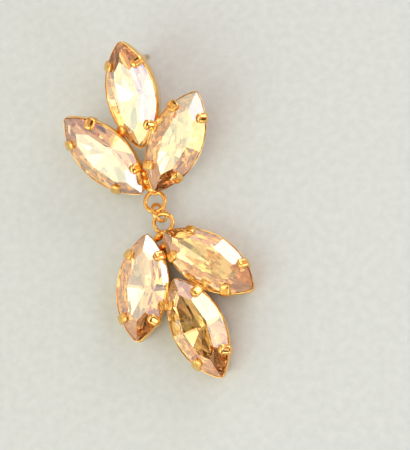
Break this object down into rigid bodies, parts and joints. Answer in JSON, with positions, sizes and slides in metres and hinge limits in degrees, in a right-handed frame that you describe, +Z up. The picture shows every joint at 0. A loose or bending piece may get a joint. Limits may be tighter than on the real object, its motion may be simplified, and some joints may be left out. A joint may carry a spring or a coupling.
{
  "type": "chandelier earring",
  "caption": "Gold-tone statement drop earring: a leafy cluster of champagne marquise crystals with an ear post, and a second cluster that dangles from it on a jump ring.",
  "frame": {"origin": "on the surface that the earring lies on, under the middle of its bounding box", "axes": "+Z up, +Y along the earring from the dangling cluster towards the upper cluster and its ear post, +X to the right as seen with the stones facing the viewer and the upper cluster at the top"},
  "size_m": [0.0274, 0.0474, 0.0124],
  "materials": {
    "gold": "polished gold plating",
    "crystal": "faceted champagne crystal with a foiled back"
  },
  "bodies": {
    "root": {"top_setting_with_post": "gold", "jump_ring": "gold", "drop_setting": "gold", "top_stone_upper": "crystal", "top_stone_left": "crystal", "top_stone_right": "crystal", "drop_stone_left": "crystal", "drop_stone_right": "crystal", "drop_stone_lower": "crystal"}
  },
  "joints": []
}
